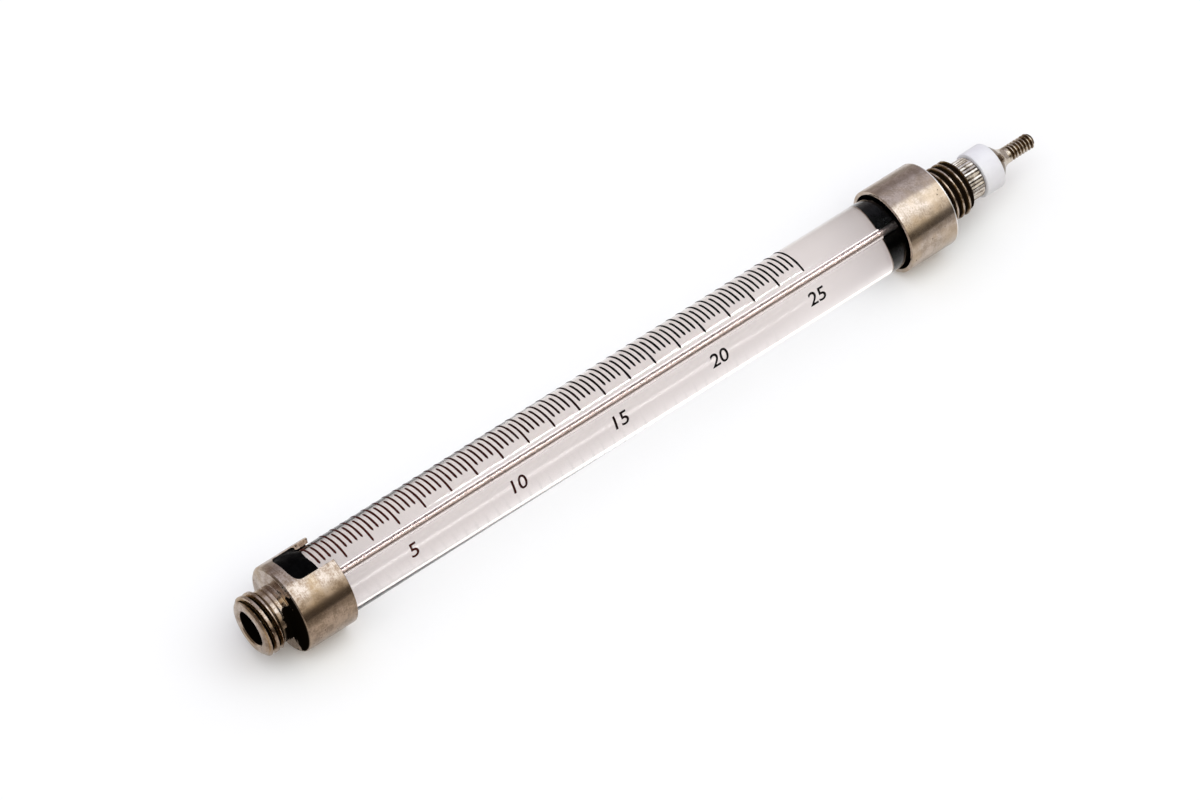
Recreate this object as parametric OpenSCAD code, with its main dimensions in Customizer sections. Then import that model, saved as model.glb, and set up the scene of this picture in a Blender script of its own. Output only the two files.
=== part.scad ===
// Microsyringe for an automatic sampler. A thick-walled glass barrel with a fine bore is cemented
// into a threaded front cap and a threaded rear collar. A round plunger wire slides in the bore and
// carries a knurled ring, a white bushing and a threaded stud at its outer end.
// The barrel's axis is X, and the plunger points to +X. The origin lies on the axis at the middle
// of the front thread. +Z is up when the syringe lies on its two collars. Sizes are in millimetres.

/* [Scale] */
// Volume between the first and the last mark, in microlitres
capacity = 25; // [15:1:40]
// Length of the scale, from the first mark to the last
scale_length = 62.5; // [55:0.5:70]
// Number of divisions on the scale
divisions = 100; // [50:10:110]
// Width of one mark along the barrel
mark_width = 0.22; // [0.1:0.01:0.25]
// Thickness of the fired ink
mark_height = 0.03; // [0.02:0.005:0.06]
// Half the angle that a short mark covers round the barrel
mark_half_angle = 17.7; // [12:0.1:20]
// Angle from the scale's centre line to the end of every fifth mark, on the near side
near_mark_angle = 31; // [22:0.5:36]
// Angle from the scale's centre line to the end of every second mark, on the far side
far_mark_angle = 44; // [22:0.5:60]
// Turn of the scale's centre line from the top of the barrel, towards +Y
scale_turn = 14; // [-30:1:30]

/* [Glass barrel] */
// Outer diameter of the glass
glass_d = 7.9; // [7:0.1:9]
// Unmarked glass behind the last mark
glass_blank = 16.35; // [14:0.05:20]
// Chamfer round both ends of the glass
glass_chamfer = 0.25; // [0.1:0.05:0.4]
// Diameter of the funnel that leads the wire into the bore
mouth_d = 1.6; // [1.2:0.1:2.4]
// Depth of that funnel
mouth_depth = 1.5; // [0.8:0.1:2.5]

/* [Front cap] */
// Outer diameter of the front thread
front_thread_d = 6.35; // [6:0.05:7]
// Length of the front thread at its full diameter
front_thread_length = 1.25; // [1:0.05:2.5]
// Diameter of the flat annular face at the nose
nose_face_d = 5.3; // [4.8:0.1:5.7]
// Length of the lead-in cone between that face and the thread
lead_in = 0.45; // [0.2:0.05:0.8]
// Diameter of the plain neck behind the thread
neck_d = 5.6; // [5.2:0.1:5.8]
// Length from the end of the thread to the shoulder of the collar
neck_length = 1.8; // [1:0.1:3]
// Diameter of the bore in the nose
nose_bore_d = 3.6; // [3:0.1:4]
// Bevel at the mouth of that bore
nose_bevel = 0.2; // [0.1:0.05:0.35]
// Length of the front collar
front_collar_length = 5.8; // [5.2:0.1:8]
// Thickness of the floor between the shoulder and the glass
cap_floor = 0.95; // [0.9:0.05:1.5]
// Thickness of the wall round the glass
cap_wall = 0.58; // [0.5:0.02:1]
// Chamfer between the shoulder and the outside of the collar
shoulder_chamfer = 0.25; // [0.1:0.05:0.4]
// Chamfer at the open rims and at the back edge of the rear collar
rim_chamfer = 0.08; // [0.04:0.01:0.14]
// Width of the window milled through the wall over the scale
window_width = 4.6; // [3.6:0.1:5.2]
// Distance from the shoulder to the closed end of the window
window_start = 1.45; // [1.3:0.05:2]
// Radius of the window's corners
window_corner = 0.8; // [0.4:0.1:1.2]
// Turn of the window past the scale's centre line, towards +Y
window_turn = 3; // [0:0.5:4]

/* [Rear collar] */
// Length of the rear collar
rear_collar_length = 6; // [5:0.1:8]
// Thickness of the cup's wall
rear_wall = 0.42; // [0.3:0.02:0.5]
// Thickness of the floor behind the glass
rear_floor = 1.2; // [0.8:0.1:2]
// Outer diameter of the rear thread
rear_thread_d = 6; // [5.4:0.05:6.6]
// Length of the rear thread at its full diameter
rear_thread_length = 3.1; // [2.4:0.1:4]
// Diameter of the relief groove between the collar and the thread
relief_d = 5; // [4.6:0.1:5.2]
// Width of that groove
relief_width = 0.4; // [0.2:0.05:0.6]
// Chamfer at the free end of the thread
rear_thread_chamfer = 0.3; // [0.1:0.05:0.4]
// Diameter of the hole that the wire passes through
guide_hole_d = 1.3; // [1:0.1:1.8]

/* [Seal and adhesive] */
// Diameter of the face seal at the bottom of the nose bore
seal_d = 5; // [4.6:0.1:5.2]
// Thickness of the face seal
seal_thickness = 0.7; // [0.4:0.05:0.8]
// Diameter of the hole through the face seal
seal_hole_d = 0.9; // [0.8:0.1:1.4]
// Gap between the glass and the front cap, filled with adhesive
front_glue_gap = 0.12; // [0.08:0.01:0.2]
// Length of the window that is filled with adhesive
window_fill = 2.6; // [1.5:0.1:3]
// Depth of that filling below the outside of the collar
fill_depth = 0.1; // [0.05:0.01:0.2]
// Depth of the adhesive below the open rim of the front cap
front_glue_recess = 0.25; // [0.1:0.05:0.6]
// Depth of the adhesive below the open rim of the rear collar
rear_glue_recess = 0.05; // [0.02:0.01:0.5]

/* [Plunger] */
// Radial clearance of the wire in the glass bore
wire_clearance = 0.012; // [0.01:0.001:0.02]
// Gap between the wire's end and the face seal when the plunger is home
wire_end_gap = 0.1; // [0.05:0.05:0.4]
// Gap between the knurled ring and the rear thread when the plunger is home
home_gap = 0.05; // [0.02:0.01:0.2]
// Outer diameter of the knurled ring
ring_d = 4.5; // [4:0.1:5]
// Length of the knurled ring
ring_length = 2; // [1.5:0.1:3]
// Number of teeth round the ring
ring_teeth = 36; // [28:1:44]
// Depth of the knurl
knurl_depth = 0.16; // [0.08:0.01:0.24]
// Outer diameter of the white bushing
bushing_d = 5; // [4.8:0.1:5.6]
// Space for the bushing between the ring and the stud's flange
bushing_space = 2.4; // [1.8:0.1:3.2]
// Free play of the bushing along the axis, on each side
bushing_play = 0.03; // [0.01:0.01:0.06]
// Radial clearance of the bushing on the shank
bushing_clearance = 0.04; // [0.02:0.01:0.08]
// Diameter of the stud's shank inside the ring and the bushing
shank_d = 2.4; // [2:0.1:2.8]
// Depth of the hole in the shank that holds the wire
wire_seat = 3; // [2:0.1:4]
// Diameter of the stud's flange against the bushing
flange_d = 3.5; // [3.2:0.1:4.4]
// Thickness of that flange at its rim
flange_rim = 0.95; // [0.5:0.05:1.4]
// Slope of the cone behind the flange, from the axis
cone_angle = 60; // [45:1:70]
// Radius of the fillet between the cone and the stud's plain neck
cone_fillet = 0.6; // [0.4:0.05:0.9]
// Outer diameter of the stud's thread
stud_d = 1.75; // [1.6:0.05:2]
// Length of the stud's thread
stud_length = 3.15; // [2.5:0.05:5]
// Length of the plain neck between the fillet and that thread, both of the same diameter
stud_neck_length = 0.55; // [0.3:0.05:1]
// Chamfer at the tip of the stud
stud_chamfer = 0.3; // [0.15:0.05:0.4]

/* [Hidden] */

// Number of sides that round surfaces are drawn with
round_fn = 96;
// Points along a fillet
fillet_steps = 8;
// Allowance by which a cutting shape runs past what it cuts
cut_over = 1;

// Radii
glass_r = glass_d / 2;
bore_r = sqrt(capacity / scale_length / PI);
wire_r = bore_r - wire_clearance;
cap_pocket_r = glass_r + front_glue_gap;
collar_r = cap_pocket_r + cap_wall;
cup_r = collar_r - rear_wall;
ring_r = ring_d / 2;
shank_r = shank_d / 2;
stud_r = stud_d / 2;

// Stations along the axis, from the nose to the tip of the stud
thread_start_x = -front_thread_length / 2;
nose_x = thread_start_x - lead_in;
thread_end_x = front_thread_length / 2;
shoulder_x = thread_end_x + neck_length;
glass_start_x = shoulder_x + cap_floor;
seal_start_x = glass_start_x - seal_thickness;
front_rim_x = shoulder_x + front_collar_length;
window_x = shoulder_x + window_start;
fill_end_x = window_x + window_fill;
zero_x = glass_start_x;
full_x = zero_x + scale_length;
glass_end_x = full_x + glass_blank;
rear_face_x = glass_end_x + rear_floor;
rear_rim_x = rear_face_x - rear_collar_length;
rear_thread_x = rear_face_x + relief_width;
barrel_end_x = rear_thread_x + rear_thread_length + rear_thread_chamfer;
ring_x = barrel_end_x + home_gap;
bushing_x = ring_x + ring_length;
flange_x = bushing_x + bushing_space;
wire_end_x = ring_x + wire_seat;

// Angles round the axis, counted from +Y towards +Z
scale_angle = 90 - scale_turn;
window_angle = scale_angle - window_turn;

// Scale
division = scale_length / divisions;
first_mark = ceil((fill_end_x + mark_width / 2 - zero_x) / division);
window_half_angle = asin(window_width / 2 / glass_r) - window_turn - 1;

// Turns a shape that stands along Z so that it lies along X, with its own X on Y
module along_x() {
    rotate([90, 0, 90]) children();
}

// A turned piece from the points of its half section, each [radius, x]
module turned(half_section) {
    along_x() rotate_extrude($fn = round_fn) polygon(half_section);
}

// A plain ring between two radii and two stations
module ring(inner_r, outer_r, x0, x1) {
    turned([[inner_r, x0], [outer_r, x0], [outer_r, x1], [inner_r, x1]]);
}

// The window's cutter: a milled slot with two rounded corners, open towards the rear
module window_cutter(x_end) {
    half = window_width / 2;
    rotate([window_angle - 90, 0, 0]) linear_extrude(collar_r + cut_over) {
        translate([window_x + window_corner, -half]) square([x_end - window_x - window_corner, window_width]);
        translate([window_x, window_corner - half]) square([x_end - window_x, window_width - 2 * window_corner]);
        for (side = [-1, 1])
            translate([window_x + window_corner, side * (half - window_corner)])
                circle(window_corner, $fn = round_fn);
    }
}

// One printed mark: a thin band on the glass from one angle to another
module mark(x, from_angle, to_angle) {
    along_x() rotate([0, 0, from_angle])
        rotate_extrude(angle = to_angle - from_angle, $fn = round_fn)
            translate([glass_r, x - mark_width / 2]) square([mark_height, mark_width]);
}

module glass_barrel() {
    color([0.86, 0.89, 0.9, 0.45]) turned([
        [bore_r, glass_start_x],
        [glass_r - glass_chamfer, glass_start_x],
        [glass_r, glass_start_x + glass_chamfer],
        [glass_r, glass_end_x - glass_chamfer],
        [glass_r - glass_chamfer, glass_end_x],
        [mouth_d / 2, glass_end_x],
        [bore_r, glass_end_x - mouth_depth]
    ]);
}

module front_cap() {
    front_thread_r = front_thread_d / 2;
    neck_r = neck_d / 2;
    nose_bore_r = nose_bore_d / 2;
    color([0.68, 0.64, 0.58]) difference() {
        turned([
            [nose_bore_r + nose_bevel, nose_x],
            [nose_face_d / 2, nose_x],
            [front_thread_r, thread_start_x],
            [front_thread_r, thread_end_x],
            [neck_r, thread_end_x + front_thread_r - neck_r],
            [neck_r, shoulder_x],
            [collar_r - shoulder_chamfer, shoulder_x],
            [collar_r, shoulder_x + shoulder_chamfer],
            [collar_r, front_rim_x - rim_chamfer],
            [collar_r - rim_chamfer, front_rim_x],
            [cap_pocket_r, front_rim_x],
            [cap_pocket_r, glass_start_x],
            [seal_d / 2, glass_start_x],
            [seal_d / 2, seal_start_x],
            [nose_bore_r, seal_start_x],
            [nose_bore_r, nose_x + nose_bevel]
        ]);
        window_cutter(front_rim_x + cut_over);
    }
}

module face_seal() {
    color([0.07, 0.07, 0.07]) ring(seal_hole_d / 2, seal_d / 2, seal_start_x, glass_start_x);
}

module front_adhesive() {
    color([0.03, 0.03, 0.03]) {
        difference() {
            ring(glass_r, cap_pocket_r, glass_start_x + glass_chamfer, front_rim_x - front_glue_recess);
            intersection() {
                window_cutter(front_rim_x + cut_over);
                ring(0, collar_r, fill_end_x, front_rim_x + cut_over);
            }
        }
        intersection() {
            window_cutter(fill_end_x);
            ring(glass_r, collar_r - fill_depth, window_x, fill_end_x);
        }
    }
}

module rear_collar() {
    rear_thread_r = rear_thread_d / 2;
    relief_r = relief_d / 2;
    guide_r = guide_hole_d / 2;
    color([0.66, 0.62, 0.55]) turned([
        [cup_r, rear_rim_x],
        [collar_r - rim_chamfer, rear_rim_x],
        [collar_r, rear_rim_x + rim_chamfer],
        [collar_r, rear_face_x - rim_chamfer],
        [collar_r - rim_chamfer, rear_face_x],
        [relief_r, rear_face_x],
        [relief_r, rear_thread_x - (rear_thread_r - relief_r) / 2],
        [rear_thread_r, rear_thread_x],
        [rear_thread_r, barrel_end_x - rear_thread_chamfer],
        [rear_thread_r - rear_thread_chamfer, barrel_end_x],
        [guide_r, barrel_end_x],
        [guide_r, glass_end_x],
        [cup_r, glass_end_x]
    ]);
}

module rear_adhesive() {
    color([0.03, 0.03, 0.03])
        ring(glass_r, cup_r, rear_rim_x + rear_glue_recess, glass_end_x - glass_chamfer);
}

module scale_marks() {
    color([0.24, 0.06, 0.05]) for (i = [first_mark : divisions]) {
        x = zero_x + i * division;
        in_window = x - mark_width < front_rim_x;
        far = i % 2 == 0 ? far_mark_angle : mark_half_angle;
        near = i % 5 == 0 ? near_mark_angle : mark_half_angle;
        mark(x,
             scale_angle - (in_window ? min(far, window_half_angle) : far),
             scale_angle + (in_window ? min(near, window_half_angle) : near));
    }
}

module plunger_wire() {
    color([0.7, 0.69, 0.67]) along_x() translate([0, 0, glass_start_x + wire_end_gap])
        cylinder(r = wire_r, h = wire_end_x - glass_start_x - wire_end_gap, $fn = round_fn);
}

module knurled_ring() {
    root_r = ring_r - knurl_depth;
    tooth = 360 / ring_teeth;
    knurl = [for (i = [0 : ring_teeth - 1], half = [0, 1])
        let (r = half == 0 ? ring_r : root_r, a = (i + half / 2) * tooth) [r * cos(a), r * sin(a)]];
    color([0.75, 0.73, 0.7]) difference() {
        intersection() {
            along_x() translate([0, 0, ring_x]) linear_extrude(ring_length) polygon(knurl);
            turned([
                [0, ring_x], [root_r, ring_x], [ring_r, ring_x + knurl_depth],
                [ring_r, bushing_x - knurl_depth], [root_r, bushing_x], [0, bushing_x]
            ]);
        }
        ring(0, shank_r, ring_x - cut_over, bushing_x + cut_over);
    }
}

module ptfe_bushing() {
    color([0.93, 0.93, 0.97])
        ring(shank_r + bushing_clearance, bushing_d / 2, bushing_x + bushing_play, flange_x - bushing_play);
}

// The fillet that leads the cone into the stud's neck, which it meets at x_end
function fillet_points(x_end) = [for (i = [0 : fillet_steps])
    let (a = cone_angle * (1 - i / fillet_steps))
        [stud_r + cone_fillet * (1 - cos(a)), x_end - cone_fillet * sin(a)]];

module plunger_stud() {
    cone_start_x = flange_x + flange_rim;
    fillet_height = cone_fillet * (1 - cos(cone_angle));
    cone_length = (flange_d / 2 - stud_r - fillet_height) / tan(cone_angle);
    fillet_end_x = cone_start_x + cone_length + cone_fillet * sin(cone_angle);
    tip_x = fillet_end_x + stud_neck_length + stud_length;
    color([0.55, 0.48, 0.38]) turned(concat(
        [[wire_r, ring_x], [shank_r, ring_x], [shank_r, flange_x], [flange_d / 2, flange_x],
         [flange_d / 2, cone_start_x]],
        fillet_points(fillet_end_x),
        [[stud_r, tip_x - stud_chamfer], [stud_r - stud_chamfer, tip_x],
         [0, tip_x], [0, wire_end_x], [wire_r, wire_end_x]]
    ));
}

glass_barrel();
front_cap();
face_seal();
front_adhesive();
rear_collar();
rear_adhesive();
scale_marks();
plunger_wire();
knurled_ring();
ptfe_bushing();
plunger_stud();
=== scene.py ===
"""A microsyringe: a scaled glass barrel in two turned collars, with its wire plunger."""

import logging
import math
from collections.abc import Mapping, Sequence
from dataclasses import dataclass
from enum import Enum

import bmesh
import bpy
from mathutils import Matrix, Vector, noise


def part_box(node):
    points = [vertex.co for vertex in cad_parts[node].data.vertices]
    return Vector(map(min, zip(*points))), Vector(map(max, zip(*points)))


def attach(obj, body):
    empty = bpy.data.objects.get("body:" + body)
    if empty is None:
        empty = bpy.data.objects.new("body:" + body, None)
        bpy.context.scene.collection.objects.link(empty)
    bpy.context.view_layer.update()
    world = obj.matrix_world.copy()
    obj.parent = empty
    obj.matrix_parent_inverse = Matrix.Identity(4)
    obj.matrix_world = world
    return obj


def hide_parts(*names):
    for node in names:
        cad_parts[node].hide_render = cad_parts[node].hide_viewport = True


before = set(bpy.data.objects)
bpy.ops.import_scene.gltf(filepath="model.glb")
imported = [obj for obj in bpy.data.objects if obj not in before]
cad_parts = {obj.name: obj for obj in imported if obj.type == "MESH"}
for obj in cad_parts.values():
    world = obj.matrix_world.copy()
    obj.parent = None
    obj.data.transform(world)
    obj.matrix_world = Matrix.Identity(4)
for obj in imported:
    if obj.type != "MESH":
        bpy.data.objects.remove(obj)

log = logging.getLogger("microsyringe")

MM = 0.001
FULL_TURN = 2 * math.pi

# How far adhesive reaches into the glass, and how far it stays clear of the metal, in millimetres.
GLUE_BITE = 0.004
GLUE_GAP = 0.002

Value = float | tuple[float, ...] | bpy.types.NodeSocket


def reach(node: str) -> tuple[float, float]:
    """Gives the two stations in millimetres between which a CAD node lies."""
    low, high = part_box(node)
    return low[0] / MM, high[0] / MM


class Body(Enum):
    """The bodies of the frame that a piece can ride on."""

    BARREL = "barrel"
    BUSHING = "bushing"
    PLUNGER = "plunger"


class Slot(Enum):
    """The record's material slots."""

    GLASS = "clear_glass"
    PLATED = "plated_brass"
    THREAD = "thread_brass"
    STEEL = "plunger_steel"
    KNURL = "knurl_steel"
    PTFE = "white_ptfe"
    ADHESIVE = "black_adhesive"
    SEAL = "black_seal"
    INK = "scale_ink"


# --- Shader maths -----------------------------------------------------------------------


class Number:
    """A number in a node tree, on which Python's operators add Math nodes."""

    def __init__(self, shader: "Shader", socket: Value) -> None:
        """Keeps the tree and the socket or plain value that the number stands for."""
        self.shader = shader
        self.socket = socket

    def _maths(self, operation: str, *values: "Number | float") -> "Number":
        """Adds one Math node.

        Args:
            operation: The Math node's operation.
            values: The numbers that go into it, in order.

        Returns:
            The number that comes out of it.
        """
        sockets = {i: v.socket if isinstance(v, Number) else v for i, v in enumerate(values)}
        node = self.shader.node("ShaderNodeMath", {"operation": operation}, sockets)
        return Number(self.shader, node.outputs[0])

    def __add__(self, other: "Number | float") -> "Number":
        """Adds."""
        return self._maths("ADD", self, other)

    __radd__ = __add__

    def __mul__(self, other: "Number | float") -> "Number":
        """Multiplies."""
        return self._maths("MULTIPLY", self, other)

    __rmul__ = __mul__

    def __sub__(self, other: "Number | float") -> "Number":
        """Takes other from this number."""
        return self._maths("SUBTRACT", self, other)

    def __rsub__(self, other: "Number | float") -> "Number":
        """Takes this number from other."""
        return self._maths("SUBTRACT", other, self)

    def __truediv__(self, other: "Number | float") -> "Number":
        """Divides by other."""
        return self._maths("DIVIDE", self, other)

    def rises(self, low: float, high: float) -> "Number":
        """Makes a smooth step of the number.

        Args:
            low: The number up to which the step is 0.
            high: The number from which it is 1.

        Returns:
            The step.
        """
        node = self.shader.node(
            "ShaderNodeMapRange",
            {"interpolation_type": "SMOOTHSTEP"},
            {"Value": self.socket, "From Min": low, "From Max": high},
        )
        return Number(self.shader, node.outputs["Result"])

    def upto(self, other: "Number | float") -> "Number":
        """Gives the smaller of the two."""
        return self._maths("MINIMUM", self, other)

    def atleast(self, other: "Number | float") -> "Number":
        """Gives the larger of the two."""
        return self._maths("MAXIMUM", self, other)


class Shader:
    """One material or world under construction."""

    def __init__(self, owner: bpy.types.Material | bpy.types.World) -> None:
        """Empties the owner's node tree.

        Args:
            owner: The material or world that the nodes are for.
        """
        self.owner = owner
        owner.use_nodes = True
        self.tree = owner.node_tree
        self.tree.nodes.clear()

    def node(
        self,
        kind: str,
        settings: Mapping[str, object] | None = None,
        sockets: Mapping[str | int, Value] | None = None,
    ) -> bpy.types.Node:
        """Adds any node.

        Args:
            kind: The node's type.
            settings: Its own settings, and "stops" for a ramp's places and colours.
            sockets: The values or links of its inputs, by name or number.

        Returns:
            The new node.
        """
        node = self.tree.nodes.new(kind)
        for name, value in (settings or {}).items():
            if name == "stops":
                elements = node.color_ramp.elements
                while len(elements) < len(value):
                    elements.new(1.0)
                for element, (place, colour) in zip(elements, value):
                    element.position = place
                    element.color = (*colour, 1.0)
            else:
                setattr(node, name, value)
        for name, value in (sockets or {}).items():
            if isinstance(value, Number):
                value = value.socket
            if isinstance(value, bpy.types.NodeSocket):
                self.tree.links.new(value, node.inputs[name])
            elif isinstance(value, tuple) and len(value) == 3 and node.inputs[name].type == "RGBA":
                node.inputs[name].default_value = (*value, 1.0)
            else:
                node.inputs[name].default_value = value
        return node

    def place(self, scale: tuple[float, float, float] = (1, 1, 1)) -> bpy.types.NodeSocket:
        """Gives the Object coordinates.

        Args:
            scale: The factor on each of them.

        Returns:
            The coordinates in millimetres.
        """
        where = self.node("ShaderNodeTexCoord").outputs["Object"]
        factors = tuple(s / MM for s in scale)
        return self.node("ShaderNodeMapping", {}, {"Vector": where, "Scale": factors}).outputs[0]

    def distance(self, *axes: float) -> Number:
        """Gives the distance in millimetres from the origin, with each axis counted by its factor."""
        node = self.node("ShaderNodeVectorMath", {"operation": "LENGTH"}, {0: self.place(axes)})
        return Number(self, node.outputs["Value"])

    def radius(self) -> Number:
        """Gives the distance from the syringe's axis in millimetres."""
        return self.distance(0, 1, 1)

    def axes(self) -> tuple[Number, Number, Number]:
        """Gives the three Object coordinates in millimetres."""
        node = self.node("ShaderNodeSeparateXYZ", {}, {0: self.place()})
        return tuple(Number(self, node.outputs[axis]) for axis in "XYZ")

    def station(self) -> Number:
        """Gives the place along the axis in millimetres."""
        return self.axes()[0]

    def grain(
        self,
        scale: float,
        detail: float = 4,
        roughness: float = 0.55,
        stretch: tuple[float, float, float] = (1, 1, 1),
    ) -> Number:
        """Adds a noise.

        Args:
            scale: The number of its features to the millimetre.
            detail: The number of finer layers in it.
            roughness: The strength of each layer, as a share of the one before.
            stretch: The factor on each coordinate. A small one draws the noise out along that axis.

        Returns:
            The noise, of about 0 to 1.
        """
        node = self.node(
            "ShaderNodeTexNoise",
            {},
            {"Vector": self.place(stretch), "Scale": scale, "Detail": detail, "Roughness": roughness},
        )
        return Number(self, node.outputs["Fac"])

    def pits(self, scale: float, size: float) -> Number:
        """Gives 1 in scattered round specks and 0 elsewhere."""
        node = self.node("ShaderNodeTexVoronoi", {}, {"Vector": self.place(), "Scale": scale})
        return 1 - Number(self, node.outputs["Distance"]).rises(size * 0.5, size)

    def mix(self, factor: Number | float, first: Value, second: Value) -> bpy.types.NodeSocket:
        """Mixes two colours."""
        sockets = {0: factor, 6: first, 7: second}
        return self.node("ShaderNodeMix", {"data_type": "RGBA"}, sockets).outputs[2]

    def bump(self, height: Number, distance: float) -> bpy.types.NodeSocket:
        """Gives the normal of a surface that height raises by up to distance millimetres."""
        sockets = {"Height": height, "Distance": distance * MM}
        return self.node("ShaderNodeBump", {}, sockets).outputs["Normal"]

    def surface(self, **sockets: Value | Number) -> bpy.types.Material:
        """Ends the material in one Principled shader.

        Args:
            sockets: Its inputs, with underscores for the spaces in their names.

        Returns:
            The finished material.
        """
        named = {name.replace("_", " "): value for name, value in sockets.items()}
        shader = self.node("ShaderNodeBsdfPrincipled", {}, named)
        self.node("ShaderNodeOutputMaterial", {}, {"Surface": shader.outputs[0]})
        return self.owner

    def glow(self, colour: Value, strength: float) -> None:
        """Ends the material in one Emission shader."""
        light = self.node("ShaderNodeEmission", {}, {"Color": colour, "Strength": strength})
        self.node("ShaderNodeOutputMaterial", {}, {"Surface": light.outputs[0]})


# --- Finishes ---------------------------------------------------------------------------


@dataclass(frozen=True)
class TurnedMetal:
    """Turned metal with mottled plating, fine lathe lines, pits, stains and soil near its roots, and
    painted shade and painted highlights.

    Attributes:
        name: The material's name.
        bright: The colour of sound plating.
        dull: The colour of its tarnished grain.
        warm: The colour of larger patches where it has yellowed.
        stain_and_shade: The colour of bare, tarnished metal below the crests, and of the painted shade past
            the brim.
        grime_and_shade: The colour of the soil at the roots, and of the painted shade in the hole and on
            the shaded side.
        crest: The radius above which the metal is clean, in millimetres.
        root: The radius below which the roots are all soiled.
        threads: The stations between which crests and roots are told apart.
        hollow: The radius of the hole inside which it is all painted shade, in the colour of the soiled
            roots.
        smooth: The roughness of sound plating.
        rough: The roughness of tarnished metal.
        pit_size: The size of a pit.
        metal: How metallic the sound metal is.
        shade_span: The stations between which painted shade lies in patches on one side.
        shade_angle: The angle of that side in degrees from straight above towards -Y.
        side_shade: How much darker the plating is painted on that side, as painted shade.
        edge_highlights: The stations of the edges that get a painted highlight.
        edge: The colour of that painted highlight.
        brim: The radius above which the metal is darkened with that colour again, as painted shade.
        uneven: How far the edge of the soiled roots wanders, in millimetres.
        relief: How high the grain and the lathe lines stand, in millimetres.
    """

    name: str
    bright: tuple[float, float, float] = (0.56, 0.47, 0.4)
    dull: tuple[float, float, float] = (0.43, 0.34, 0.265)
    warm: tuple[float, float, float] = (0.52, 0.4, 0.28)
    stain_and_shade: tuple[float, float, float] = (0.4, 0.25, 0.1)
    grime_and_shade: tuple[float, float, float] = (0.012, 0.007, 0.004)
    crest: float = 0.002
    root: float = 0.001
    threads: tuple[float, float] = (-100.0, 1000.0)
    hollow: float = 0.0
    smooth: float = 0.14
    rough: float = 0.27
    pit_size: float = 0.1
    metal: float = 1.0
    shade_span: tuple[float, float] = (0.0, 0.0)
    shade_angle: float = 80.0
    side_shade: float = 0.0
    edge_highlights: tuple[float, ...] = ()
    edge: tuple[float, float, float] = (1.0, 0.97, 0.94)
    brim: float = 100.0
    uneven: float = 0.5
    relief: float = 0.004

    def facing(self, s: Shader) -> Number:
        """Tells the side with the painted shade from the side across.

        Args:
            s: The shader.

        Returns:
            A number that is 1 in the middle of the shaded side and -1 across from it.
        """
        side = math.radians(self.shade_angle)
        _, across, up = s.axes()
        return (up * math.cos(side) - across * math.sin(side)) / s.radius()

    def patchy_shade(self, s: Shader, blotch: Number) -> Number:
        """Spreads the painted shade in patches over its stations and its side.

        Args:
            s: The shader.
            blotch: The coarse mottling, which breaks the painted shade up.

        Returns:
            The share of painted shade.
        """
        # Painted shade: dark patches on the side that mirrors the shadowed floor, growing towards the end
        # of the stations.
        start, end = self.shade_span
        along = s.station()
        there = along.rises(start, start + 0.5) * (1 - along.rises(end, end + 0.1))
        nearer = along.rises(start, end) * 0.6
        return (self.facing(s) + nearer + (blotch - 0.5) * 2.4).rises(1.0, 1.12) * there

    def sound(self, s: Shader, tone: Number, fine: Number) -> bpy.types.NodeSocket:
        """Gives the colour of the metal before its stains and soil, with its painted side shade and painted
        edge highlights.

        Args:
            s: The shader.
            tone: The mottling, 1 where the plating is sound.
            fine: The finest grain.

        Returns:
            The colour.
        """
        colour = s.mix(tone, self.dull, self.bright)
        colour = s.mix(s.grain(0.35, 3).rises(0.45, 0.7) * 0.7, colour, self.warm)
        # Painted shade: the side that mirrors the shadowed floor is darkened, keeping the mottling.
        if self.side_shade:
            deep, light = (tuple(c * share for c in self.dull) for share in (0.75, 1.3))
            side = (self.facing(s) + (fine - 0.5) * 0.4).rises(0.6, 0.95) * self.side_shade
            colour = s.mix(side, colour, s.mix(tone, deep, light))
        # Painted highlight: a bright line along each listed edge, where its chamfer would catch the light.
        for edge in self.edge_highlights:
            away = s.station() - edge
            near = 1 - away.atleast(0 - away).rises(0.08, 0.16)
            colour = s.mix(near * (0.7 + fine * 0.6).upto(1.0), colour, self.edge)
        return colour

    def layers(self, s: Shader, blotch: Number, fine: Number) -> tuple[Number, Number]:
        """Tells the stained metal, the soiled roots and the painted shade from the sound metal.

        Args:
            s: The shader.
            blotch: The coarse mottling, which makes their edges wander.
            fine: The finest grain, which frays them.

        Returns:
            The share of stained metal with the painted shade past the brim, and the share of soiled metal
            with the painted shade in the hole and on one side.
        """
        depth = s.radius() + (blotch - 0.5) * self.uneven + (fine - 0.5) * 0.2
        first, last = self.threads
        counts = s.station().rises(first, first + 0.1) * (1 - s.station().rises(last, last + 0.2))
        middle = (self.crest + self.root) / 2
        stain_and_shade = (1 - depth.rises(middle, self.crest)) * counts
        # Painted shade: past the brim the metal takes the dark stain colour.
        stain_and_shade = stain_and_shade.atleast(s.radius().rises(self.brim - 0.3, self.brim))
        dirt_and_shade = (1 - depth.rises(self.root, middle)) * counts
        # Painted shade: the inside of the hole is darkened all over.
        dirt_and_shade = dirt_and_shade.atleast(1 - s.radius().rises(self.hollow, self.hollow + 0.02))
        if self.shade_span[1] > self.shade_span[0]:
            dirt_and_shade = dirt_and_shade.atleast(self.patchy_shade(s, blotch))
        return stain_and_shade, dirt_and_shade

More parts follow.
